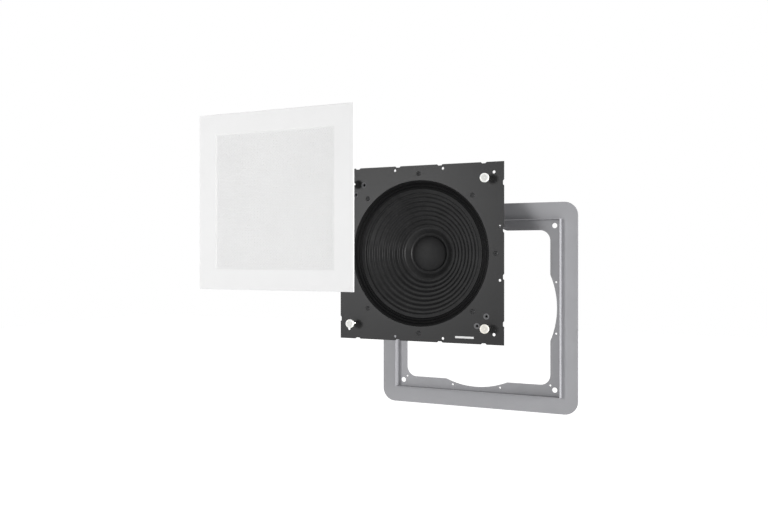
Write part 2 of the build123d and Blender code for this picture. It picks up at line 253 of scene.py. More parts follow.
class StageSettings(bpy.types.PropertyGroup):
    """The camera, the lamps and the floor."""

    camera_place: lengths("Camera", "Place of the camera", 0.4506, -1.3625, 0.0886)
    camera_turn: angle("Camera turn", "How far the camera looks to the left", 24.89)
    camera_lens: FloatProperty(name="Lens", description="Focal length of the camera", default=37.47,
                               unit="CAMERA")
    floor_drop: length("Floor drop", "How far the floor lies below the lowest piece", 420.0)
    floor_reach: length("Floor reach", "How far the floor reaches each way", 6000.0)
    key_place: lengths("Key lamp place", "Place of the key lamp, at the left", -1.40, -2.74, 0.36)
    key_power: wattage("Key lamp", "Power of the key lamp", 40.5)
    key_size: length("Key lamp size", "Side of the key lamp", 620.0)
    woofer_place: lengths("Woofer lamp place", "Place of the woofer lamp", 0.66, -2.49, 0.05)
    woofer_power: wattage("Woofer lamp", "Power of the lamp that models the cone", 42.0)
    woofer_size: length("Woofer lamp size", "Side of the woofer lamp", 400.0)
    side_place: lengths("Side lamp place", "Place of the lamp at the right", 2.45, -0.22, 0.09)
    side_power: wattage("Side lamp", "Power of the lamp at the right", 80.0)
    side_size: length("Side lamp size", "Side of the lamp at the right", 400.0)
    fill: FloatProperty(name="Fill", description="Strength of the even light from all sides",
                        default=0.32)


GROUPS = {"speaker_grille": GrilleSettings, "speaker_driver": DriverSettings,
          "speaker_frame": FrameSettings, "speaker_stage": StageSettings}


# Shapes

def turns(count):
    return [2 * pi * i / count for i in range(count)]


def circle(x, z, radius, count):
    return [(x + radius * cos(t), z + radius * sin(t)) for t in turns(count)]


def soft_square(x, z, half_x, half_z, corner, steps):
    """A rectangle round a point with rounded corners, as (x, z) points."""
    points = []
    for start, side_x, side_z in ((0, 1, 1), (90, -1, 1), (180, -1, -1), (270, 1, -1)):
        for i in range(steps + 1):
            turn = radians(start + 90 * i / steps)
            points.append((x + side_x * (half_x - corner) + corner * cos(turn),
                           z + side_z * (half_z - corner) + corner * sin(turn)))
    return points


def inset(outline, by):
    """The outline moved inwards by the same distance all round, with mitred corners."""
    moved = []
    for i, here in enumerate(outline):
        before, after = Vector(outline[i - 1]), Vector(outline[(i + 1) % len(outline)])
        here = Vector(here)
        arriving, leaving = (here - before).normalized(), (after - here).normalized()
        first, second = Vector((-arriving.y, arriving.x)), Vector((-leaving.y, leaving.x))
        moved.append(tuple(here + (first + second) * by / (1 + first.dot(second))))
    return moved


def rim(outline, low, high, soft, hole=False):
    """The rows round an edge or a hole of a plate, rounded at both faces, as (outline, depth)."""
    side = -1 if hole else 1
    bend = [pi / 2 * i / RIM_STEPS for i in range(RIM_STEPS + 1)]
    steps = [(inset(outline, side * soft * (1 - sin(t))), soft * (1 - cos(t))) for t in bend]
    rows = [(row, low + depth) for row, depth in steps]
    return rows + [(row, high - depth) for row, depth in steps[::-1]]


def holds(outline, x, z):
    """Whether a point lies inside the outline."""
    inside = False
    for (x1, z1), (x2, z2) in zip(outline, outline[1:] + outline[:1]):
        if (z1 > z) != (z2 > z) and x < x1 + (z - z1) * (x2 - x1) / (z2 - z1):
            inside = not inside
    return inside


def face_between(outlines):
    """Triangles between the first outline and the others inside it, as numbers of their points."""
    inside_only, nearness = 1, 1e-8
    points, edges, owner = [], [], []
    for number, outline in enumerate(outlines):
        start, count = len(points), len(outline)
        points += [Vector(p) for p in outline]
        edges += [(start + i, start + (i + 1) % count) for i in range(count)]
        owner += [number] * count
    _, _, faces, origin, _, _ = delaunay_2d_cdt(points, edges, [], inside_only, nearness)
    kept = []
    for face in faces:
        own = [origin[v][0] for v in face]
        owners = {owner[v] for v in own}
        if len(owners) == 1 and owners != {0}:
            centre = sum((points[v] for v in own), Vector((0, 0))) / 3
            if holds(outlines[owner[own[0]]], centre.x, centre.y):
                continue
        kept.append(own)
    return kept


def placed(name, data):
    """A new object in the scene."""
    thing = bpy.data.objects.new(name, data)
    bpy.context.scene.collection.objects.link(thing)
    return thing


def solid(name, points, faces, sharp=HARD_EDGE, flat=0):
    """A closed mesh with its faces outwards, smooth apart from edges sharper than the angle and
    from its last few faces, which stay flat."""
    mesh = bpy.data.meshes.new(name)
    mesh.from_pydata(points, [], faces)
    tidy = bmesh.new()
    tidy.from_mesh(mesh)
    bmesh.ops.recalc_face_normals(tidy, faces=tidy.faces)
    tidy.to_mesh(mesh)
    tidy.free()
    mesh.set_sharp_from_angle(angle=radians(sharp))
    smooth = len(faces) - flat
    mesh.polygons.foreach_set("use_smooth", [number < smooth for number in range(len(faces))])
    mesh.update()
    return placed(name, mesh)


def punched(name, rims, sharp=HARD_EDGE):
    """A plate standing upright. The first rim goes round its edge and the others round its holes."""
    points, faces, ends = [], [], ([], [])
    for rows in rims:
        start, count = len(points), len(rows[0][0])
        for outline, depth in rows:
            points += [(x, depth, z) for x, z in outline]
        for row in range(len(rows) - 1):
            first = start + row * count
            for i in range(count):
                j = (i + 1) % count
                faces.append((first + i, first + j, first + count + j, first + count + i))
        ends[0].append(start)
        ends[1].append(start + (len(rows) - 1) * count)
    sides = len(faces)
    for starts, row in zip(ends, (0, -1)):
        outlines = [rows[row][0] for rows in rims]
        numbers = [start + i for start, outline in zip(starts, outlines) for i in range(len(outline))]
        faces += [tuple(numbers[v] for v in face) for face in face_between(outlines)]
    return solid(name, points, faces, sharp, len(faces) - sides)


def skin(name, rows, ring=False, sharp=HARD_EDGE):
    """A closed mesh through rows of as many points each. The last row meets the first in a ring,
    and otherwise both end rows are closed with a flat face."""
    count = len(rows[0])
    last = len(rows) if ring else len(rows) - 1
    faces = []
    for row in range(last):
        here, after = row * count, (row + 1) % len(rows) * count
        for i in range(count):
            j = (i + 1) % count
            faces.append((here + i, here + j, after + j, after + i))
    if not ring:
        faces += [tuple(range(count)), tuple(range(last * count, (last + 1) * count))]
    return solid(name, [point for row in rows for point in row], faces, sharp, 0 if ring else 2)


def turned(name, section, at, segments, ring=False, sharp=HARD_EDGE):
    """A round piece about a line along Y, from its (radius, depth) points behind the place `at`."""
    rows = [[(at.x + r * cos(t), at.y + depth, at.z + r * sin(t)) for t in turns(segments)]
            for r, depth in section]
    return skin(name, rows, ring, sharp)


def joined(name, pieces, sharp=HARD_EDGE):
    """Like pieces made one object."""
    points, faces = [], []
    for piece in pieces:
        start = len(points)
        points += [tuple(v.co) for v in piece.data.vertices]
        faces += [tuple(start + v for v in p.vertices) for p in piece.data.polygons]
        bpy.data.objects.remove(piece)
    return solid(name, points, faces, sharp)


def eased(points, soft, steps):
    """The same line with each corner rounded off, from at most that far back. A point on either
    side of each bend keeps the shading of the straight parts straight."""
    share_of_leg, beside = 0.4, 1.2
    smooth = [tuple(points[0])]
    for before, corner, after in zip(points, points[1:], points[2:]):
        before, corner, after = Vector(before), Vector(corner), Vector(after)
        legs = before - corner, after - corner
        reach = min(soft, *[leg.length * share_of_leg for leg in legs])
        arriving, leaving = [leg.normalized() * reach for leg in legs]
        smooth.append(tuple(corner + arriving * beside))
        for i in range(steps + 1):
            t = i / steps
            smooth.append(tuple(corner + arriving * (1 - t) ** 2 + leaving * t * t))
        smooth.append(tuple(corner + leaving * beside))
    return smooth + [tuple(points[-1])]


def rolls(start, end, count, height):
    """A wavy line between two (radius, depth) points, which fades into both ends."""
    steps = 12
    line = []
    for i in range(count * steps + 1):
        share = i / (count * steps)
        swing = cos(2 * pi * count * share) * min(1, 2 * count * min(share, 1 - share))
        line.append((start[0] + share * (end[0] - start[0]),
                     start[1] + share * (end[1] - start[1]) + swing * height / 2))
    return line


def zigzag(start, end, count, height):
    """A folded line between two (radius, depth) points, with as many crests."""
    line = []
    for i in range(2 * count + 1):
        share = i / (2 * count)
        line.append((start[0] + share * (end[0] - start[0]),
                     start[1] + share * (end[1] - start[1]) + (-1) ** i * height / 2))
    return line


def sheet(line, thick):
    """The closed half section of a thin sheet: its front line, and the same line again behind."""
    return line + [(r, depth + thick) for r, depth in reversed(line)]


def middle(node):
    low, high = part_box(node)
    return (low + high) / 2


def front(node):
    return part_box(node)[0].y


def back(node):
    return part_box(node)[1].y


def extent(node):
    """The middle of a node, and the depths of its front and its back."""
    return middle(node), front(node), back(node)


def half_width(node):
    low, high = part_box(node)
    return (high.x - low.x) / 2


def corners(node, place):
    """The four places at the same distance from the middle of a node both ways."""
    at = middle(node)
    return [(at.x + x, at.z + z) for x in (-place, place) for z in (-place, place)]


def side_places(node, near, out):
    """Two places beside the middle of each side of a node."""
    at = middle(node)
    flat = [(x, z) for x in (-near, near) for z in (-out, out)]
    return [(at.x + x, at.z + z) for x, z in flat + [(z, x) for x, z in flat]]


# Finishes

def add(finish, kind, **values):
    """A node of the finish, with the sockets or settings of these names set."""
    node = finish.node_tree.nodes.new("ShaderNode" + kind)
    for name, value in values.items():
        if name in node.inputs:
            node.inputs[name].default_value = value
        else:
            setattr(node, name, value)
    return node


def link(finish, start, end):
    finish.node_tree.links.new(start, end)


def feed(finish, output, socket):
    """Drives a socket of the finish's shader."""
    link(finish, output, finish.node_tree.nodes["Principled BSDF"].inputs[socket])


def base(name, tint, roughness, metal=0.0, **sockets):
    """A new finish whose even values are set on its shader's own sockets."""
    finish = bpy.data.materials.new(name)
    finish.use_nodes = True
    shader = finish.node_tree.nodes["Principled BSDF"]
    shader.inputs["Base Color"].default_value = (*tint, 1)
    shader.inputs["Roughness"].default_value = roughness
    shader.inputs["Metallic"].default_value = metal
    for socket, value in sockets.items():
        shader.inputs[socket.replace("_", " ")].default_value = value
    finish.diffuse_color = (*tint, 1)
    return finish


def places(finish, centre=(0, 0, 0), stretch=(1, 1, 1)):
    """Coordinates in metres from a point, stretched along the axes."""
    where = add(finish, "TexCoord")
    moved = add(finish, "Mapping", vector_type="TEXTURE", Location=centre,
                Scale=tuple(1 / s for s in stretch))
    link(finish, where.outputs["Object"], moved.inputs["Vector"])
    return moved.outputs["Vector"]


def noise(finish, where, scale, detail, rough=0.5, distortion=0.0):
    node = add(finish, "TexNoise", Scale=scale, Detail=detail, Roughness=rough, Distortion=distortion)
    link(finish, where, node.inputs["Vector"])
    return node.outputs["Fac"]


def rings(finish, where, scale, distortion):
    node = add(finish, "TexWave", wave_type="RINGS", rings_direction="Y", Scale=scale,
               Distortion=distortion)
    link(finish, where, node.inputs["Vector"])
    return node.outputs["Fac"]


def bands(finish, where, scale, direction, distortion=0.0):
    node = add(finish, "TexWave", wave_type="BANDS", bands_direction=direction, Scale=scale,
               Distortion=distortion)
    link(finish, where, node.inputs["Vector"])
    return node.outputs["Fac"]


def tinted(finish, factor, tint, spread):
    """Varies the base colour by the factor, from darker to lighter by a share of the tint."""
    ramp = add(finish, "ValToRGB")
    ends = zip(ramp.color_ramp.elements, FACTOR_RANGE, (1 - spread, 1 + spread))
    for element, position, share in ends:
        element.position = position
        element.color = (*[min(1, c * share) for c in tint], 1)
    link(finish, factor, ramp.inputs["Fac"])
    feed(finish, ramp.outputs["Color"], "Base Color")


def roughened(finish, factor, low, high):
    """Varies the roughness between these two values by the factor."""
    spread = add(finish, "MapRange")
    for socket, value in zip(("From Min", "From Max", "To Min", "To Max"), (*FACTOR_RANGE, low, high)):
        spread.inputs[socket].default_value = value
    link(finish, factor, spread.inputs["Value"])
    feed(finish, spread.outputs["Result"], "Roughness")


def relief(finish, *heights):
    """Raises the surface by each (factor, height) in turn."""
    normal = None
    for factor, height in heights:
        bump = add(finish, "Bump", Strength=1.0, Distance=height)
        link(finish, factor, bump.inputs["Height"])
        if normal:
            link(finish, normal, bump.inputs["Normal"])
        normal = bump.outputs["Normal"]
    feed(finish, normal, "Normal")


def powder_coat(name, tint, roughness, grain, spread, **sockets):
    """Powder coat: a fine grain over a slow ripple, with faint cloudy changes of tone."""
    finish = base(name, tint, roughness, **sockets)
    where = places(finish)
    cloud = noise(finish, where, 14, 4, 0.6)
    tinted(finish, cloud, tint, spread)
    fine = noise(finish, where, 1900, 2, 0.6)
    roughened(finish, fine, roughness - 0.06, roughness + 0.06)
    relief(finish, (noise(finish, where, 230, 2), grain * 2), (fine, grain))
    return finish


def paper_pulp(name, tint, roughness, centre):
    """Pressed paper with a thin coat: short fibres, soft mottling and a slight sheen."""
    finish = base(name, tint, roughness, Specular_IOR_Level=0.16)
    where = places(finish, centre)
    mottle = noise(finish, where, 60, 6, 0.65, 0.4)
    tinted(finish, mottle, tint, 0.22)
    fibre = noise(finish, places(finish, centre, (1, 0.35, 1)), 900, 4, 0.7, 1.2)
    roughened(finish, fibre, roughness - 0.05, roughness + 0.10)
    relief(finish, (mottle, 60 * MICRON), (fibre, 50 * MICRON))
    return finish


def woven(name, tint, roughness, thread, height, spread, **sockets):
    """Cloth with crossing threads, uneven as real threads are."""
    finish = base(name, tint, roughness, **sockets)
    where = places(finish)
    scale = 1 / thread / WAVE_BANDS
    warp, weft = bands(finish, where, scale, "X", 0.6), bands(finish, where, scale, "Z", 0.6)
    crossing = add(finish, "Math", operation="MULTIPLY")
    link(finish, warp, crossing.inputs[0])
    link(finish, weft, crossing.inputs[1])
    slub = noise(finish, where, 220, 4, 0.6)
    tinted(finish, slub, tint, spread)
    roughened(finish, slub, roughness - 0.05, roughness + 0.05)
    relief(finish, (crossing.outputs[0], height), (slub, height / 2))
    return finish


def turned_metal(name, tint, roughness, centre):
    """Plated steel with the fine marks of turning round its middle."""
    finish = base(name, tint, roughness, metal=1.0)
    where = places(finish, centre)
    marks = rings(finish, where, 420, 1.5)
    cloud = noise(finish, where, 45, 5, 0.6)
    tinted(finish, cloud, tint, 0.10)
    roughened(finish, cloud, roughness - 0.08, roughness + 0.12)
    relief(finish, (marks, 6 * MICRON))
    return finish


def bright_metal(name, tint, roughness):
    """Small plated parts: cloudy plating with fine scratches."""
    finish = base(name, tint, roughness, metal=1.0)
    cloud = noise(finish, places(finish), 320, 4)
    tinted(finish, cloud, tint, 0.08)
    scratch = noise(finish, places(finish, stretch=(1, 9, 1)), 700, 3, 0.7)
    roughened(finish, scratch, roughness - 0.06, roughness + 0.14)
    relief(finish, (scratch, 4 * MICRON))
    return finish


def oxide(name, tint, roughness):
    """Blackened steel, rubbed a little lighter here and there."""
    finish = base(name, tint, roughness, Specular_IOR_Level=0.2)
    wear = noise(finish, places(finish), 900, 4, 0.6)
    tinted(finish, wear, tint, 0.3)
    roughened(finish, wear, roughness - 0.08, roughness + 0.12)
    relief(finish, (wear, 6 * MICRON))
    return finish


def plain_plastic(name, tint, roughness, **sockets):
    """Moulded plastic with a faint grain and slightly uneven gloss."""
    finish = base(name, tint, roughness, **sockets)
    where = places(finish)
    cloud = noise(finish, where, 150, 3)
    tinted(finish, cloud, tint, 0.02)
    grain = noise(finish, where, 2600, 2)
    roughened(finish, noise(finish, where, 420, 3), roughness - 0.05, roughness + 0.08)
    relief(finish, (cloud, 20 * MICRON), (grain, 6 * MICRON))
    return finish


def ground_ferrite(name, tint, centre):
    """A fired ferrite ring with grinding marks and pale dust in its pores."""
    finish = base(name, tint, 0.6)
    where = places(finish, centre)
    pores = noise(finish, where, 700, 5, 0.7)
    tinted(finish, pores, tint, 0.35)
    roughened(finish, pores, 0.5, 0.75)
    grinding = noise(finish, places(finish, centre, (1, 1, 12)), 260, 3)
    relief(finish, (grinding, 20 * MICRON), (pores, 30 * MICRON))
    return finish


def wound_wire(name, tint, centre, wire):
    """Enamelled wire wound round a former, one turn beside the other, with painted shade between the
    turns and painted highlight on their tops.
    """
    finish = base(name, tint, 0.3, metal=1.0, Coat_Weight=0.6, Coat_Roughness=0.15)
    where = places(finish, centre)
    turn = bands(finish, where, 1 / wire / WAVE_BANDS, "Y")
    # The colour follows each turn: painted shade in the hollows between turns, painted highlight on
    # their tops.
    tinted(finish, turn, tint, 0.3)
    roughened(finish, turn, 0.24, 0.4)
    relief(finish, (turn, wire / 4))
    return finish


def fibre_board(name, tint):
    """Pressed brown board with speckled fibres."""
    finish = base(name, tint, 0.55)
    fibre = noise(finish, places(finish, stretch=(1, 1, 0.3)), 900, 5, 0.7, 0.8)
    tinted(finish, fibre, tint, 0.3)
    roughened(finish, fibre, 0.48, 0.66)
    relief(finish, (fibre, 30 * MICRON))
    return finish


# Fitting

def fit(piece, finish, nodes=(), body="chassis"):
    """Gives a new piece its finish and its body, and lets it stand for these nodes."""
    piece.data.materials.append(finish)
    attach(piece, body)
    finish_off(nodes)


def bridge(piece, finish, nodes):
    """Gives a soft piece between the chassis and the moving cone its finish, bakes its place into its
    points and lets it stand for these nodes.
    """
    piece.data.materials.append(finish)
    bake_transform(piece)
    finish_off(nodes)


def finish_off(nodes):
    """Hides the nodes that the piece stands for."""
    if nodes:
        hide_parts(*nodes)


def dress(node, finish):
    """Gives a node of the frame a better finish, on its own material slots."""
    for place in frame["nodes"][node].material_slots:
        place.material = finish


# Grille

class GrilleBorder(bpy.types.Operator):
    """Builds the plain white border, with its rebate for the sheet behind"""

    bl_idname = "speaker.grille_border"
    bl_label = "Grille border"

    def execute(self, context):
        s = context.scene.speaker_grille
        at, low, high = extent("grille_frame")
        half = half_width("grille_frame")
        window = half - s.border
        rebate = window + s.sheet_overlap + s.sheet_gap
        step = front("perforated_sheet")
        edge, mouth, inner = [soft_square(at.x, at.z, reach, reach, s.corner, steps=4)
                              for reach in (half, window, rebate)]
        hole = rim(mouth, low, step, s.window_soft, hole=True)[:RIM_STEPS + 1]
        hole += [(mouth, step), (inner, step), (inner, high)]
        piece = punched("grille_border", [rim(edge, low, high, s.edge_soft), hole])
        finish = powder_coat("white_powder_coat", s.white, 0.55, 20 * MICRON, 0.012)
        fit(piece, finish, ["grille_frame"])
        return {"FINISHED"}


class PerforatedSheet(bpy.types.Operator):
    """Builds the finely perforated sheet of the window, with every hole punched through"""

    bl_idname = "speaker.perforated_sheet"
    bl_label = "Perforated sheet"

    def execute(self, context):
        s = context.scene.speaker_grille
        at, low, high = extent("perforated_sheet")
        half = half_width("perforated_sheet")
        window = half - s.sheet_overlap
        row_pitch = s.hole_pitch * sin(radians(60))
        columns = int((2 * window - s.hole_pitch) / s.hole_pitch)
        rows = int((2 * window - row_pitch) / row_pitch)
        edge = soft_square(at.x, at.z, half, half, s.sheet_corner, steps=2)
        rims = [[(edge, low), (edge, high)]]
        for row in range(rows):
            for column in range(columns):
                x = at.x + (column - (columns - 0.5) / 2 + (row % 2) / 2) * s.hole_pitch
                z = at.z + (row - (rows - 1) / 2) * row_pitch
                hole = circle(x, z, s.hole_radius, count=6)
                rims.append([(hole, low), (hole, high)])
        piece = punched("perforated_window", rims, sharp=70)
        # The sheet's coat is partly its own white, partly painted shade for its perforations.
        finish = powder_coat("white_sheet_coat_and_painted_shade", s.sheet, 0.6, 10 * MICRON, 0.012)
        fit(piece, finish, ["perforated_sheet"])
        return {"FINISHED"}


class ScrimCloth(bpy.types.Operator):
    """Builds the thin white cloth stretched behind the window"""

    bl_idname = "speaker.scrim_cloth"
    bl_label = "Cloth behind the window"

    def execute(self, context):
        s = context.scene.speaker_grille
        at, low, high = extent("scrim_cloth")
        half = half_width("scrim_cloth")
        edge = soft_square(at.x, at.z, half, half, s.cloth_corner, steps=4)
        piece = punched("scrim", [rim(edge, low, high, (high - low) * 0.3)])
        # The cloth's colour is partly its own white, partly painted light against the shade of the
        # holes in front of it.
        finish = woven("white_cloth_and_painted_light", s.cloth, 0.9, 0.5 * MM, 60 * MICRON, 0.03)
        fit(piece, finish, ["scrim_cloth"])
        return {"FINISHED"}


# Driver plate

def notched_square(at, half, s):
    """The plate's outline, with its notches in each side."""
    one_side = [(half, -half)]
    for i in range(4):
        place = (i - 1.5) * s.notch_pitch
        for along, deep in ((-s.notch_mouth, 0), (-s.notch_floor, s.notch_deep),
                            (s.notch_floor, s.notch_deep), (s.notch_mouth, 0)):
            one_side.append((half - deep, place + along / 2))
    outline = []
    for turn in range(4):
        for x, z in one_side:
            for _ in range(turn):
                x, z = -z, x
            outline.append((at.x + x, at.z + z))
    return outline


def around(node, radius, count):
    """Places on a circle round the middle of a node."""
    at = middle(node)
    return circle(at.x, at.z, radius, count)


def sink_places(at, s):
    """The countersunk holes astride the diagonal, at the upper left and lower right."""
    angles = [radians(diagonal) + side * s.sink_angle for diagonal in (135, -45) for side in (-1, 1)]
    return [(at.x + s.sink_circle * cos(t), at.z + s.sink_circle * sin(t)) for t in angles]


class DriverPlate(bpy.types.Operator):
    """Builds the black steel plate with its notches, holes and round opening"""

    bl_idname = "speaker.driver_plate"
    bl_label = "Driver plate"

    sink_sides = 40

    def execute(self, context):
        s = context.scene.speaker_driver
        at, low, high = extent("baffle_plate")
        half, soft, hole_soft = half_width("baffle_plate"), s.plate_soft, s.plate_soft * 0.6
        rims = [rim(notched_square(at, half, s), low, high, soft),
                rim(circle(at.x, at.z, s.opening_radius, count=256), low, high, soft, hole=True)]
        post_hole = half_width("magnet_posts") - (half - s.magnet_inset) + CLEARANCE
        groups = [(side_places("baffle_plate", s.side_spread / 2, half - s.side_inset), s.side_hole),
                  (corners("baffle_plate", half - s.corner_inset), s.corner_hole),
                  (corners("baffle_plate", half - s.magnet_inset), post_hole),
                  (around("baffle_plate", s.screw_circle, s.screw_count), s.screw_hole)]
        for spots, radius in groups:
            rims += [rim(circle(x, z, radius, HOLE_SIDES), low, high, hole_soft, hole=True)
                     for x, z in spots]
        for x, z in sink_places(at, s):
            rims.append([(circle(x, z, s.sink_mouth, self.sink_sides), low),
                         (circle(x, z, s.sink_hole, self.sink_sides), high)])
        self.countersinks(at, low, high, s)
        piece = punched("driver_plate", rims)
        finish = powder_coat("black_powder_coat", s.black, 0.40, 22 * MICRON, 0.06,
                             Specular_IOR_Level=0.2)
        fit(piece, finish, ["baffle_plate"])
        return {"FINISHED"}

    def countersinks(self, at, low, high, s):
        """The bared steel of the countersinks, as thin collars that lie in them."""
        step, outside, inside, bottom = 0.1 * MM, 0.15 * MM, 0.3 * MM, 0.05 * MM
        section = [(s.sink_mouth - outside, step), (s.sink_hole + bottom, high - low),
                   (s.sink_hole, high - low), (s.sink_mouth - inside, step)]
        collars = [turned("collar", section, Vector((x, low, z)), self.sink_sides, ring=True,
                          sharp=FOLD_EDGE) for x, z in sink_places(at, s)]
        steel = bright_metal("bared_steel", (0.15, 0.15, 0.155), 0.62)
        fit(joined("bared_countersinks", collars, FOLD_EDGE), steel)


class BlankStrip(bpy.types.Operator):
    """Builds the thin blank strip at the plate's lower right"""

    bl_idname = "speaker.blank_strip"
    bl_label = "Blank strip"

    def execute(self, context):
        s = context.scene.speaker_driver
        at, low = middle("baffle_plate"), front("baffle_plate")
        long, high, thick = s.strip_size
        corner = 0.5 * MM
        x, z = at.x + s.strip_place[0], at.z + s.strip_place[1]
        edge = soft_square(x, z, long / 2, high / 2, corner, steps=5)
        piece = punched("blank_strip", [rim(edge, low - thick, low, thick * 0.3)])
        fit(piece, plain_plastic("pale_print", (0.74, 0.74, 0.74), 0.5))
        return {"FINISHED"}


class MagnetDiscs(bpy.types.Operator):
    """Builds the four discs that hold the grille, each with its dish and mark, one of them yellowed,
    and with painted shade laid grey in each dish
    """

    bl_idname = "speaker.magnet_discs"
    bl_label = "Magnet discs"

    def execute(self, context):
        s = context.scene.speaker_driver
        place = half_width("baffle_plate") - s.magnet_inset
        radius = half_width("magnet_discs") - place
        thick = back("magnet_discs") - front("magnet_discs")
        grip = half_width("magnet_posts") - place + CLEARANCE
        centres = [Vector((x, front("magnet_discs"), z)) for x, z in corners("baffle_plate", place)]
        core, slope, soft = 0.4 * MM, 0.5 * MM, 0.7 * MM
        floor = s.dish_deep + s.mark_deep
        line = [(core, floor), (s.mark_radius, floor), (s.mark_radius, s.dish_deep),
                (s.dish_radius, s.dish_deep), (s.dish_radius + slope, 0), (radius, 0),
                (radius, thick), (grip, thick), (grip, thick - s.grip_deep),
                (core, thick - s.grip_deep)]
        section = eased(line, soft, steps=5)
        discs = [turned("disc", section, at, segments=72) for at in centres]
        shells = joined("magnet_stand_offs", discs)
        fit(shells, self.shell("white_shell", s.white), ["magnet_discs"])
        self.yellow(shells, self.shell("yellowed_shell", s.ivory))
        # A thin grey liner on the floor of each dish: painted shade, darker than the disc where the
        # dish would lie in shade.
        near, far, edge = s.dish_deep - 0.05 * MM, s.dish_deep + 0.1 * MM, s.dish_radius - 0.3 * MM
        shade_liner = [(s.mark_radius, near), (edge, near), (edge, far), (s.mark_radius, far)]
        shade_inlays = [turned("face", shade_liner, at, segments=48, ring=True) for at in centres]
        pressed = joined("magnet_faces", shade_inlays)
        fit(pressed, self.face("painted_dish_shade", s.face))
        self.yellow(pressed, self.face("yellowed_dish_shade", [c * 0.92 for c in s.ivory]))
        return {"FINISHED"}

    # The dish liners' finish: a darker grey that paints the shade in the dish.
    def face(self, name, tint):
        return powder_coat(name, tint, 0.5, 30 * MICRON, 0.08)

    def yellow(self, piece, finish):
        """Gives the disc at the lower right its own, warmer finish."""
        at = middle("baffle_plate")
        piece.data.materials.append(finish)
        for face in piece.data.polygons:
            face.material_index = int(face.center.x > at.x and face.center.z < at.z)

    def shell(self, name, tint):
        return plain_plastic(name, tint, 0.38, Subsurface_Weight=0.08,
                             Subsurface_Radius=(2 * MM, 1.6 * MM, MM), Subsurface_Scale=0.4)


class MagnetPosts(bpy.types.Operator):
    """Builds the four bright posts with the thread that runs along them"""

    bl_idname = "speaker.magnet_posts"
    bl_label = "Magnet posts"

    def execute(self, context):
        s = context.scene.speaker_driver
        place = half_width("baffle_plate") - s.magnet_inset
        radius = half_width("magnet_posts") - place
        low, high = front("magnet_posts"), back("magnet_posts")
        pitch, deep, end = s.thread_pitch, s.thread_deep, 0.5 * MM
        count, steps, thread_edge = 20, 6, 80
        rows = int((high - low) / pitch * steps)
        posts = []
        for x, z in corners("baffle_plate", place):
            lines = []
            for row in range(rows + 1):
                y = low + (high - low) * row / rows
                bare = min(1, min(y - low, high - y) / end)
                line = []
                for number, t in enumerate(turns(count)):
                    phase = ((y - low) / pitch + number / count) % 1
                    r = radius - deep * abs(2 * phase - 1) - deep * (1 - bare)
                    line.append((x + r * cos(t), y, z + r * sin(t)))
                lines.append(line)
            posts.append(skin("post", lines, sharp=thread_edge))
        finish = bright_metal("zinc_thread", (0.70, 0.70, 0.69), 0.26)
        fit(joined("threaded_posts", posts, thread_edge), finish, ["magnet_posts"])
        return {"FINISHED"}


class WooferScrews(bpy.types.Operator):
    """Builds the button headed screws round the woofer, each with its hexagon socket"""

    bl_idname = "speaker.woofer_screws"
    bl_label = "Woofer screws"

    def execute(self, context):
        s = context.scene.speaker_driver
        low, high = front("baffle_plate"), back("basket_screws")
        top, shank = low - s.screw_high, s.screw_hole - CLEARANCE
        count, steps = 48, 8
        lip, dip, start = s.socket_flats / 2 / cos(pi / 6) + 0.15 * MM, 0.12 * MM, 0.25 * MM
        socket = [(s.socket_flats / 2 / cos((t + pi / 6) % (pi / 3) - pi / 6), t) for t in turns(count)]
        screws = []
        for x, z in around("baffle_plate", s.screw_circle, s.screw_count):
            hexagon = [(x + r * cos(t), z + r * sin(t)) for r, t in socket]
            rows = [(inset(hexagon, 0.5 * MM), top + s.socket_deep),
                    (hexagon, top + s.socket_deep * 0.85), (hexagon, top + start),
                    (circle(x, z, lip, count), top + dip)]
            for i in range(1, steps + 1):
                t = pi / 2 * i / steps
                rows.append((circle(x, z, lip + (s.screw_head - lip) * sin(t), count),
                             low - (s.screw_high - dip) * cos(t)))
            rows += [(circle(x, z, shank, count), low), (circle(x, z, shank, count), high)]
            screws.append(skin("screw", [[(px, y, pz) for px, pz in outline] for outline, y in rows]))
        finish = oxide("black_oxide", (0.02, 0.02, 0.021), 0.36)
        fit(joined("woofer_screws", screws), finish, ["basket_screws"])
        return {"FINISHED"}


# Woofer

def on_axis(depth):
    """The point on the woofer's axis at this depth."""
    at = middle("baffle_plate")
    return Vector((at.x, depth, at.z))


def cone_line(s):
    """The cone's front from its broad rim over the ribs to the neck, as (radius, depth) points."""
    outer = half_width("cone")
    neck = back("cone") - front("cone") - s.cone_thick
    pitch = (outer - s.rib_end) / s.rib_count
    ribs = zigzag((outer - pitch, s.rib_fall), (s.rib_end, s.cone_drop), s.rib_count - 1, s.rib_height)
    crest = (s.crest_radius, s.cone_drop + s.crest_drop)
    bevel, bevel_width = 0.15 * MM, 0.2 * MM
    folds = eased([(outer, bevel), (outer - bevel_width, 0), (outer - s.cone_land, 0), *ribs, crest],
                  s.rib_soft, steps=5)
    bore = half_width("coil_former") + CLEARANCE
    inner = eased([ribs[-1], crest, (s.groove_radius, neck), (bore, neck)], s.neck_soft, steps=6)
    return folds[:-1] + inner[1:]


class Cone(bpy.types.Operator):
    """Builds the ribbed paper cone"""

    bl_idname = "speaker.cone"
    bl_label = "Cone"

    def execute(self, context):
        s = context.scene.speaker_driver
        at = on_axis(front("cone"))
        section = sheet(cone_line(s), s.cone_thick)
        piece = turned("ribbed_cone", section, at, segments=200, ring=True, sharp=FOLD_EDGE)
        fit(piece, paper_pulp("cone_paper", s.pulp, 0.28, at), ["cone"], "moving_cone")
        return {"FINISHED"}


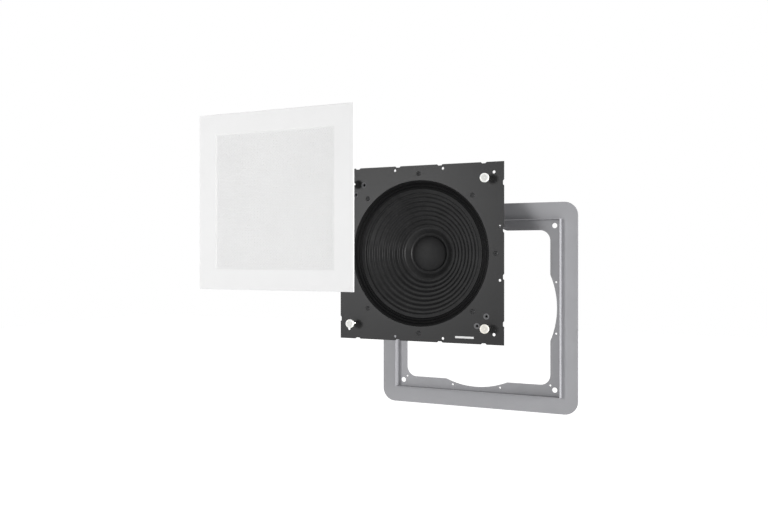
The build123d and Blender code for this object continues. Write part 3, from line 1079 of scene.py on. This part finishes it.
class DustCap(bpy.types.Operator):
    """Builds the domed dust cap, whose skirt stands on the cone's neck"""

    bl_idname = "speaker.dust_cap"
    bl_label = "Dust cap"

    def execute(self, context):
        s = context.scene.speaker_driver
        radius, foot = half_width("dust_cap"), back("dust_cap") - front("dust_cap")
        steps, crowding, last_turn = 40, 1.3, 0.01
        bend = [pi / 2 * (1 - i / steps) ** crowding for i in range(steps)] + [last_turn]
        dome = [(radius, foot)] + [(radius * sin(t), s.cap_rise * (1 - cos(t))) for t in bend]
        share = (radius - s.cap_thick) / radius
        under = [(r * share, min(depth + s.cap_thick, foot)) for r, depth in dome]
        at = on_axis(front("dust_cap"))
        piece = turned("dome_cap", under[::-1] + dome, at, segments=160, sharp=FOLD_EDGE)
        fit(piece, paper_pulp("cap_paper", s.cap, 0.5, at), ["dust_cap"], "moving_cone")
        return {"FINISHED"}


class Surround(bpy.types.Operator):
    """Builds the accordion surround, which bends between the basket and the cone"""

    bl_idname = "speaker.surround"
    bl_label = "Surround"

    def execute(self, context):
        s = context.scene.speaker_driver
        outer = half_width("surround")
        rim_depth = front("cone") + s.cone_thick
        land = back("gasket") - s.surround_thick
        start, end = (outer - s.surround_land, land), (half_width("cone"), rim_depth)
        beside = 0.6 * MM
        line = [(outer, land), (start[0] + beside, land)]
        line += rolls(start, end, s.surround_rolls, s.surround_height)
        line += [(end[0] - s.surround_glue, rim_depth)]
        section = sheet(line, s.surround_thick)
        piece = turned("accordion_surround", section, on_axis(0), segments=224, ring=True,
                       sharp=FOLD_EDGE)
        finish = woven("treated_cloth", (0.004, 0.004, 0.0042), 0.42, 0.7 * MM, 50 * MICRON, 0.25,
                       Specular_IOR_Level=0.12)
        bridge(piece, finish, ["surround"])
        return {"FINISHED"}


class Spider(bpy.types.Operator):
    """Builds the cupped spider behind the cone, which bends between the basket and the coil"""

    bl_idname = "speaker.spider"
    bl_label = "Spider"

    def execute(self, context):
        s = context.scene.speaker_driver
        outer, inner = half_width("spider"), half_width("coil_former") + CLEARANCE
        collar = back("spider") - s.spider_thick
        land = collar - s.spider_cup
        start, end = (outer - s.spider_land, land), (inner + s.spider_collar, collar)
        line = [(outer, land), *rolls(start, end, s.spider_rolls, s.spider_height), (inner, collar)]
        section = sheet(line, s.spider_thick)
        piece = turned("cupped_spider", section, on_axis(0), segments=160, ring=True,
                       sharp=FOLD_EDGE)
        finish = woven("resin_cloth", (0.42, 0.30, 0.13), 0.7, 0.8 * MM, 80 * MICRON, 0.15)
        bridge(piece, finish, ["spider"])
        return {"FINISHED"}


class TinselLeads(bpy.types.Operator):
    """Gives the two braided leads their finish"""

    bl_idname = "speaker.tinsel_leads"
    bl_label = "Tinsel leads"

    def execute(self, context):
        tint = (0.52, 0.45, 0.34)
        finish = base("tinsel_braid", tint, 0.45, metal=0.6)
        twist_and_shade = bands(finish, places(finish), 420, "DIAGONAL", 1.0)
        # The colour follows the twist: painted shade in its grooves, painted highlight on its ridges.
        tinted(finish, twist_and_shade, tint, 0.35)
        relief(finish, (twist_and_shade, 120 * MICRON))
        piece = placed("braided_leads", frame["nodes"]["tinsel_leads"].data.copy())
        piece.data.materials.clear()
        bridge(piece, finish, ["tinsel_leads"])
        return {"FINISHED"}


class Basket(bpy.types.Operator):
    """Gives the pressed basket and its gasket their finish"""

    bl_idname = "speaker.basket"
    bl_label = "Basket and gasket"

    def execute(self, context):
        dress("basket", powder_coat("basket_enamel", (0.022, 0.022, 0.023), 0.36, 30 * MICRON, 0.12))
        tint = (0.018, 0.018, 0.018)
        finish = base("gasket_foam", tint, 0.9)
        cells = noise(finish, places(finish), 1600, 4, 0.7)
        tinted(finish, cells, tint, 0.4)
        relief(finish, (cells, 100 * MICRON))
        dress("gasket", finish)
        return {"FINISHED"}


class Motor(bpy.types.Operator):
    """Gives the coil, the pole piece, the top plate and the ring magnet their finish"""

    bl_idname = "speaker.motor"
    bl_label = "Motor and coil"

    def execute(self, context):
        at, zinc = on_axis(front("ring_magnet")), (0.56, 0.55, 0.52)
        dress("top_plate", turned_metal("zinc_top_plate", zinc, 0.34, at))
        dress("pole_piece", turned_metal("zinc_pole_piece", zinc, 0.32, at))
        dress("ring_magnet", ground_ferrite("ring_ferrite", (0.045, 0.045, 0.05), at))
        dress("coil_winding", wound_wire("coil_copper", (0.55, 0.26, 0.14), at, 0.35 * MM))
        dress("coil_former", plain_plastic("amber_film", (0.28, 0.15, 0.05), 0.25))
        return {"FINISHED"}


class Terminals(bpy.types.Operator):
    """Gives the terminal board, its rivets and tabs, and the post nuts their finish"""

    bl_idname = "speaker.terminals"
    bl_label = "Terminals and nuts"

    def execute(self, context):
        dress("terminal_board", fibre_board("brown_board", (0.20, 0.11, 0.05)))
        dress("board_rivets", bright_metal("rivet_steel", (0.62, 0.62, 0.60), 0.3))
        dress("terminal_tabs", bright_metal("tinned_brass", (0.68, 0.66, 0.62), 0.28))
        dress("post_nuts", bright_metal("zinc_nuts", (0.60, 0.60, 0.58), 0.3))
        dress("press_nuts", oxide("black_press_nuts", (0.012, 0.012, 0.013), 0.5))
        return {"FINISHED"}


# Wall frame

def aperture(at, half, corner, radius):
    """The ledge's opening: a rounded square that swells where the round woofer passes."""
    points, sides = [], 480
    for t in turns(sides):
        c, d = max(abs(cos(t)), abs(sin(t))), min(abs(cos(t)), abs(sin(t)))
        reach = half / c
        if reach * d > half - corner:
            along = (half - corner) * (c + d)
            reach = along + (along ** 2 - 2 * (half - corner) ** 2 + corner ** 2) ** 0.5
        reach = max(reach, radius)
        points.append((at.x + reach * cos(t), at.z + reach * sin(t)))
    return points


class WallFrame(bpy.types.Operator):
    """Builds the grey frame in one piece: rim, raised lip, recess walls and pierced ledge"""

    bl_idname = "speaker.wall_frame"
    bl_label = "Wall frame"

    def execute(self, context):
        driver, s = context.scene.speaker_driver, context.scene.speaker_frame
        at, low, high = extent("wall_frame")
        outer = half_width("wall_frame")
        lip = outer - s.rim_width
        recess = lip - s.wall
        ledge, face = high - s.ledge_thick, low + s.lip_rise
        line = [(recess, ledge), (recess, low), (lip, low), (lip, face), (outer, face),
                (outer, face + s.rim_thick), (lip, face + s.rim_thick), (lip, high)]
        edge = []
        for half, depth in eased(line, s.bend_soft, steps=4):
            share = max(0, (half - lip) / (outer - lip))
            corner = s.lip_corner + share * (s.rim_corner - s.lip_corner)
            edge.append((soft_square(at.x, at.z, half, half, corner, steps=10), depth))
        opening = aperture(at, recess - s.ledge_width, s.aperture_corner, s.woofer_radius)
        rims = [edge, rim(opening, ledge, high, s.hole_soft, hole=True)]
        plate = half_width("baffle_plate")
        fixings = corners("wall_frame", recess - s.fixing_inset)
        small = side_places("wall_frame", driver.side_spread / 2, plate - driver.side_inset)
        small += [(x, z) for x, z in corners("wall_frame", plate - driver.corner_inset) if z < at.z]
        for spots, radius in ((fixings, s.fixing_hole), (small, s.screw_hole)):
            rims += [rim(circle(x, z, radius, HOLE_SIDES), ledge, high, s.hole_soft, hole=True)
                     for x, z in spots]
        piece = punched("recess_frame", rims)
        finish = powder_coat("grey_powder_coat", s.grey, 0.5, 20 * MICRON, 0.03)
        fit(piece, finish, ["wall_frame"])
        return {"FINISHED"}


# Stage

def seen_rays(nodes, links):
    """An output that is 1 for rays that come from the camera, from gloss or through glass."""
    path = nodes.new("ShaderNodeLightPath")
    seen = path.outputs["Is Camera Ray"]
    for kind in ("Is Glossy Ray", "Is Transmission Ray"):
        either = nodes.new("ShaderNodeMath")
        either.operation = "MAXIMUM"
        links.new(seen, either.inputs[0])
        links.new(path.outputs[kind], either.inputs[1])
        seen = either.outputs[0]
    return seen


class Stage(bpy.types.Operator):
    """Builds the pale floor, the soft lamps, the white surroundings and the camera"""

    bl_idname = "speaker.stage"
    bl_label = "Floor, lamps and camera"

    def execute(self, context):
        s = context.scene.speaker_stage
        self.floor(s)
        self.surroundings(context, s)
        plate = middle("baffle_plate")
        key = self.lamp("key_lamp", s.key_place, plate, s.key_size, s.key_power)
        woofer = self.lamp("woofer_lamp", s.woofer_place, plate, s.woofer_size, s.woofer_power)
        side = self.lamp("side_lamp", s.side_place, middle("wall_frame"), s.side_size, s.side_power)
        sheets = ("grille_border", "perforated_window", "scrim", "driver_plate")
        passed = self.gathered("plates_without_shadow", sheets, "EXCLUDE")
        key.blocker_collection = woofer.blocker_collection = passed
        cone = ("ribbed_cone", "accordion_surround")
        spared = self.gathered("all_but_cone", cone, "EXCLUDE")
        key.receiver_collection = side.receiver_collection = spared
        woofer.receiver_collection = self.gathered("cone_alone", cone, "INCLUDE")
        self.camera(context, s)
        context.scene.view_settings.view_transform = "Standard"
        return {"FINISHED"}

    def gathered(self, name, pieces, state):
        """A collection of pieces that a lamp reaches alone, or that it leaves out."""
        collection = bpy.data.collections.new(name)
        for number, piece in enumerate(pieces):
            collection.objects.link(bpy.data.objects[piece])
            collection.collection_objects[number].light_linking.link_state = state
        return collection

    def camera(self, context, s):
        """The camera, which looks level and a little to the left."""
        camera = bpy.data.cameras.new("camera")
        camera.lens, camera.sensor_width = s.camera_lens, 36.0
        viewer = placed("camera", camera)
        viewer.location, viewer.rotation_euler = s.camera_place, (pi / 2, 0, s.camera_turn)
        context.scene.camera = viewer

    def floor(self, s):
        """A pale floor, white to the camera, which takes the shadows."""
        reach, level, pale = s.floor_reach, cad_low.z - s.floor_drop, 0.8
        mesh = bpy.data.meshes.new("floor")
        ends = ((-reach, -reach), (reach, -reach), (reach, reach), (-reach, reach))
        mesh.from_pydata([(x, y, level) for x, y in ends], [], [(0, 1, 2, 3)])
        floor = placed("floor", mesh)
        paint = bpy.data.materials.new("pale_floor")
        paint.use_nodes = True
        nodes, links = paint.node_tree.nodes, paint.node_tree.links
        shader = nodes["Principled BSDF"]
        shader.inputs["Base Color"].default_value = (pale, pale, pale, 1)
        shader.inputs["Roughness"].default_value = 0.9
        shader.inputs["Emission Color"].default_value = (1, 1, 1, 1)
        lift = nodes.new("ShaderNodeMath")
        lift.operation = "MULTIPLY"
        lift.inputs[1].default_value = pale
        links.new(seen_rays(nodes, links), lift.inputs[0])
        links.new(lift.outputs[0], shader.inputs["Emission Strength"])
        mesh.materials.append(paint)

    def surroundings(self, context, s):
        """White surroundings for the camera, and the even fill light for everything else."""
        world = bpy.data.worlds.new("white_room")
        world.use_nodes = True
        context.scene.world = world
        nodes, links = world.node_tree.nodes, world.node_tree.links
        sky = nodes["Background"]
        sky.inputs["Color"].default_value = (1, 1, 1, 1)
        level = nodes.new("ShaderNodeMapRange")
        level.inputs["To Min"].default_value = s.fill
        links.new(seen_rays(nodes, links), level.inputs["Value"])
        links.new(level.outputs["Result"], sky.inputs["Strength"])

    def lamp(self, name, place, aim, size, power):
        """A square lamp that points at its aim. Gives back what says which pieces it reaches."""
        light = bpy.data.lights.new(name, "AREA")
        light.size, light.energy = size, power
        lamp = placed(name, light)
        lamp.location = place
        lamp.rotation_euler = (Vector(aim) - Vector(place)).to_track_quat("-Z", "Y").to_euler()
        return lamp.light_linking


OPERATORS = (GrilleBorder, PerforatedSheet, ScrimCloth, DriverPlate, BlankStrip, MagnetDiscs,
             MagnetPosts, WooferScrews, Cone, DustCap, Surround, Spider, TinselLeads, Basket, Motor,
             Terminals, WallFrame, Stage)


class SpeakerPanel(bpy.types.Panel):
    """The settings and the steps of the build, in the sidebar"""

    bl_idname = "VIEW3D_PT_speaker"
    bl_label = "In wall speaker"
    bl_space_type = "VIEW_3D"
    bl_region_type = "UI"
    bl_category = "Speaker"

    def draw(self, context):
        layout = self.layout
        for family in GROUPS:
            group, box = getattr(context.scene, family), layout.box()
            for name in group.bl_rna.properties.keys():
                if name not in ("rna_type", "name"):
                    box.prop(group, name)
        for operator in OPERATORS:
            layout.operator(operator.bl_idname)


def register():
    for family, group in GROUPS.items():
        bpy.utils.register_class(group)
        setattr(bpy.types.Scene, family, PointerProperty(type=group))
    for shown in (*OPERATORS, SpeakerPanel):
        bpy.utils.register_class(shown)


def unregister():
    for shown in (SpeakerPanel, *reversed(OPERATORS)):
        bpy.utils.unregister_class(shown)
    for family, group in GROUPS.items():
        delattr(bpy.types.Scene, family)
        bpy.utils.unregister_class(group)


def main():
    register()
    for operator in OPERATORS:
        family, name = operator.bl_idname.split(".")
        getattr(getattr(bpy.ops, family), name)()


if __name__ == "__main__":
    main()
